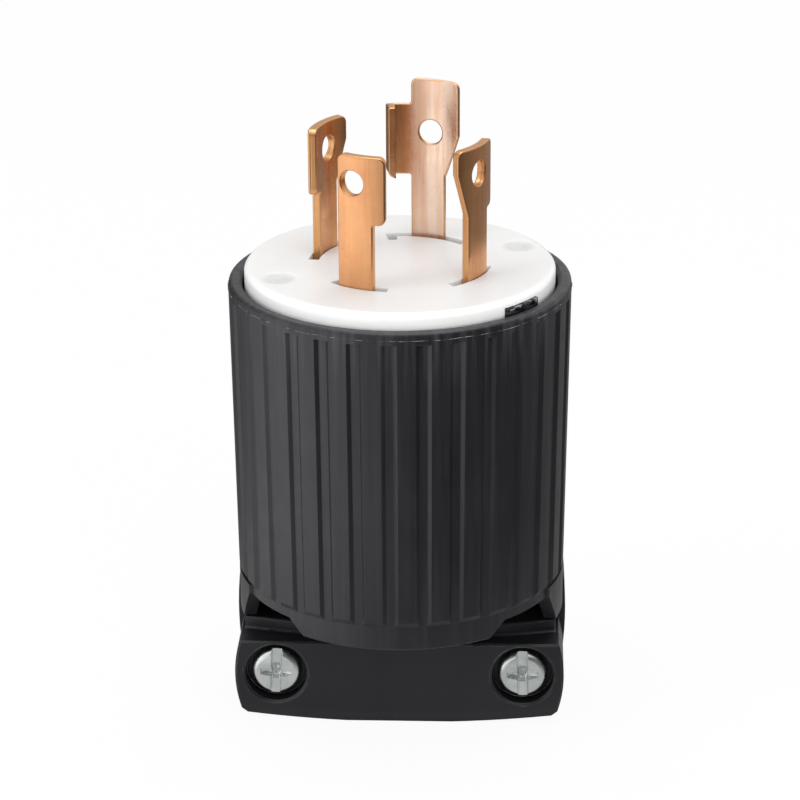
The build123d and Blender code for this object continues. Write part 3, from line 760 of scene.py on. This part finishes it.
def add_screw(work, frame_at, radius, length):
    """One clamp screw: its crowned head with slot and cross recess, and its thread."""
    rings = []
    for k in range(1, HEAD_RINGS + 1):
        points = [(x, y, head_height(x, y, radius))
                  for x, y in circle_points(HEAD_SECTORS, radius * k / HEAD_RINGS)]
        rings.append(add_ring(work, frame_at, points))
    hub = work.verts.new(frame_at @ Vector((0, 0, head_height(0, 0, radius))))
    for i in range(HEAD_SECTORS):
        work.faces.new((hub, rings[0][i], rings[0][(i + 1) % HEAD_SECTORS]))
    for first, second in zip(rings, rings[1:]):
        ring_strip(work, first, second)
    for reach in (radius, SCREW_SHANK_RADIUS - THREAD_DEPTH):
        points = [(x, y, 0) for x, y in circle_points(HEAD_SECTORS, reach)]
        rings.append(add_ring(work, frame_at, points))
        ring_strip(work, rings[-2], rings[-1])
    work.faces.new(rings[-1])
    rows = []
    count = math.ceil(length / THREAD_PITCH * THREAD_ROWS)
    for k in range(count + 1):
        depth = length * k / count
        points = []
        for i, (x, y) in enumerate(circle_points(THREAD_SECTORS, 1.0)):
            reach = thread_radius(depth, i / THREAD_SECTORS, length)
            points.append((reach * x, reach * y, -depth))
        rows.append(add_ring(work, frame_at, points))
    for first, second in zip(rows, rows[1:]):
        ring_strip(work, first, second)
    work.faces.new(rows[0])
    work.faces.new(rows[-1])


def clamp_screw_forms(node):
    """Both clamp screws, at the ends of their CAD node."""
    low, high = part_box(node)
    radius = (high.z - low.z) / 2
    length = high.y - low.y - SCREW_HEAD_HEIGHT
    work = bmesh.new()
    for x, turn in zip((low.x + radius, high.x - radius), SCREW_TURNS):
        place = Vector((x, low.y + SCREW_HEAD_HEIGHT, (low.z + high.z) / 2))
        outward = Matrix(((1, 0, 0), (0, 0, -1), (0, 1, 0))).to_4x4()
        turned = Matrix.Rotation(math.radians(turn), 4, "Z")
        add_screw(work, Matrix.Translation(place) @ outward @ turned, radius, length)
    bmesh.ops.recalc_face_normals(work, faces=work.faces)
    mesh = smooth_mesh(work, node + "_form")
    mesh.set_sharp_from_angle(angle=math.radians(CREASE_ANGLE))
    item = new_piece(mesh, node, look_of(node))
    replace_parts(item, node)
    weighted = item.modifiers.new("normals", "WEIGHTED_NORMAL")
    weighted.keep_sharp = True


# Mould line

def mould_line(node):
    """Thin, nicked line that the mould left on the outer edge of the rim."""
    low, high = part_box(node)
    radius = (high.x - low.x) / 2
    height = high.z - MOULD_LINE_DROP
    draw = random.Random(MOULD_LINE_SEED)
    levels = [MOULD_LINE_LOWEST + (1 - MOULD_LINE_LOWEST) * draw.random()
              for _ in range(MOULD_LINE_POINTS)]
    for _ in range(MOULD_NICKS):
        nick = draw.randrange(MOULD_LINE_POINTS)
        for i in range(draw.randrange(*MOULD_NICK_POINTS)):
            levels[(nick + i) % MOULD_LINE_POINTS] = MOULD_NICK_LEVEL
    work = bmesh.new()
    rings = [[], [], []]
    for i, level in enumerate(levels):
        angle = 2 * math.pi * i / MOULD_LINE_POINTS
        waves = math.sin(angle * MOULD_WAVES[0]) * math.sin(angle * MOULD_WAVES[1] + 1)
        wander = MOULD_WANDER * MOULD_LINE_WIDTH * waves
        shape = ((-MOULD_LINE_HEIGHT, MOULD_LINE_WIDTH / 2), (MOULD_LINE_HEIGHT * level, 0),
                 (-MOULD_LINE_HEIGHT, -MOULD_LINE_WIDTH / 2))
        for ring, (out, up) in zip(rings, shape):
            reach = radius + out
            ring.append(work.verts.new((reach * math.cos(angle), reach * math.sin(angle),
                                        height + up + wander)))
    for first, second in ((rings[0], rings[1]), (rings[1], rings[2]), (rings[2], rings[0])):
        ring_strip(work, first, second)
    bmesh.ops.recalc_face_normals(work, faces=work.faces)
    new_piece(smooth_mesh(work, "mould_line"), node, flecked_nylon())


# Stage

def mirror_level(n, direction, behind_level):
    """Light that a mirror sees towards a direction: from the left, behind and overhead."""
    split = n.add("ShaderNodeSeparateXYZ")
    n.link(direction, split.inputs[0])
    flat = n.add("ShaderNodeCombineXYZ")
    n.link(split.outputs["X"], flat.inputs["X"])
    n.link(split.outputs["Y"], flat.inputs["Y"])
    unit = n.add("ShaderNodeVectorMath", operation="NORMALIZE")
    n.link(flat.outputs[0], unit.inputs[0])
    shares = []
    for way in (MIRROR_SIDE, MIRROR_BACK):
        dot = n.add("ShaderNodeVectorMath", operation="DOT_PRODUCT")
        n.link(unit.outputs[0], dot.inputs[0])
        dot.inputs[1].default_value = way
        shares.append(dot.outputs["Value"])
    side = n.spread(shares[0], *MIRROR_SIDE_FADE, MIRROR_DARK, MIRROR_LIGHT)
    behind = n.spread(shares[1], *MIRROR_BACK_FADE, 0.0, behind_level)
    overhead = n.spread(split.outputs["Z"], *MIRROR_OVERHEAD_FADE, 0.0, MIRROR_OVERHEAD)
    return n.math("MAXIMUM", n.math("MAXIMUM", side, behind), overhead)


def ray_kinds(n):
    """Whether a ray is the camera's, and whether it is mirrored or passes through glass."""
    path = n.add("ShaderNodeLightPath")
    mirrored = n.math("MAXIMUM", path.outputs["Is Glossy Ray"],
                      path.outputs["Is Transmission Ray"])
    return path.outputs["Is Camera Ray"], mirrored


def floor():
    """A plain white floor, which mirrors see graded as the studio round it."""
    bpy.ops.mesh.primitive_plane_add(size=FLOOR_SIZE, location=(0, 0, 0))
    item = bpy.context.object
    item.name = "floor"
    made = bpy.data.materials.new("floor_look")
    made.use_nodes = True
    n = Nodes(made.node_tree)
    diffuse = n.add("ShaderNodeBsdfDiffuse")
    diffuse.inputs["Color"].default_value = (FLOOR_ALBEDO, FLOOR_ALBEDO, FLOOR_ALBEDO, 1)
    direct, mirrored = ray_kinds(n)
    coordinates = n.add("ShaderNodeTexCoord")
    reach = n.add("ShaderNodeVectorMath", operation="LENGTH")
    n.link(coordinates.outputs["Object"], reach.inputs[0])
    far = n.spread(reach.outputs["Value"], *FLOOR_NEAR)
    level = mirror_level(n, coordinates.outputs["Object"], MIRROR_BEHIND)
    level = n.math("SUBTRACT", level, FLOOR_NEAR_LEVEL)
    level = n.math("ADD", n.math("MULTIPLY", level, far), FLOOR_NEAR_LEVEL)
    graded = n.math("SUBTRACT", level, 1.0)
    glow = n.add("ShaderNodeEmission")
    n.link(n.math("ADD", n.math("MULTIPLY", graded, mirrored), 1.0), glow.inputs["Strength"])
    seen = n.math("MULTIPLY", direct, FLOOR_WHITE_SHARE)
    mix = n.add("ShaderNodeMixShader")
    n.link(n.math("MAXIMUM", seen, mirrored), mix.inputs[0])
    n.link(diffuse.outputs[0], mix.inputs[1])
    n.link(glow.outputs[0], mix.inputs[2])
    output = n.add("ShaderNodeOutputMaterial")
    n.link(mix.outputs[0], output.inputs["Surface"])
    item.data.materials.append(made)


def world():
    """White to the camera, graded to mirrors, and even to matt surfaces."""
    item = bpy.data.worlds.new("studio")
    bpy.context.scene.world = item
    item.use_nodes = True
    n = Nodes(item.node_tree)
    direct, mirrored = ray_kinds(n)
    coordinates = n.add("ShaderNodeTexCoord")
    graded = mirror_level(n, coordinates.outputs["Generated"], MIRROR_BACKDROP)
    graded = n.math("SUBTRACT", graded, WORLD_MATT)
    level = n.math("ADD", n.math("MULTIPLY", mirrored, graded), WORLD_MATT)
    level = n.math("MAXIMUM", level, direct)
    background = n.add("ShaderNodeBackground")
    n.link(level, background.inputs["Strength"])
    output = n.add("ShaderNodeOutputWorld")
    n.link(background.outputs[0], output.inputs["Surface"])


def lamp(name, place, width, height, power, mirrored=False):
    """A soft rectangular lamp: place and size in metres, power in watts."""
    data = bpy.data.lights.new(name, "AREA")
    data.shape = "RECTANGLE"
    data.size = width
    data.size_y = height
    data.energy = power
    item = bpy.data.objects.new(name, data)
    bpy.context.scene.collection.objects.link(item)
    item.visible_glossy = mirrored
    item.location = place
    item.rotation_mode = "QUATERNION"
    item.rotation_quaternion = (Vector(LAMP_AIM) - Vector(place)).to_track_quat("-Z", "Y")


camera()
floor()
world()
lamp("left_box", (-0.62, -0.30, 0.30), 0.35, 0.6, 1.8)
lamp("top_box", (0.0, 0.10, 0.80), 0.6, 0.5, 1.7, mirrored=True)
lamp("front_box", (0.38, -0.80, 0.30), 0.9, 0.5, 4.2)

clamp_screw_forms("clamp_screws")
for node_name in list(nodes):
    if node_name.startswith("blade_"):
        blade_form(node_name)
    elif node_name != "clamp_screws":
        keep_node(node_name)
mould_line("shell")

bpy.context.scene.view_settings.view_transform = "Standard"
bpy.context.view_layer.update()
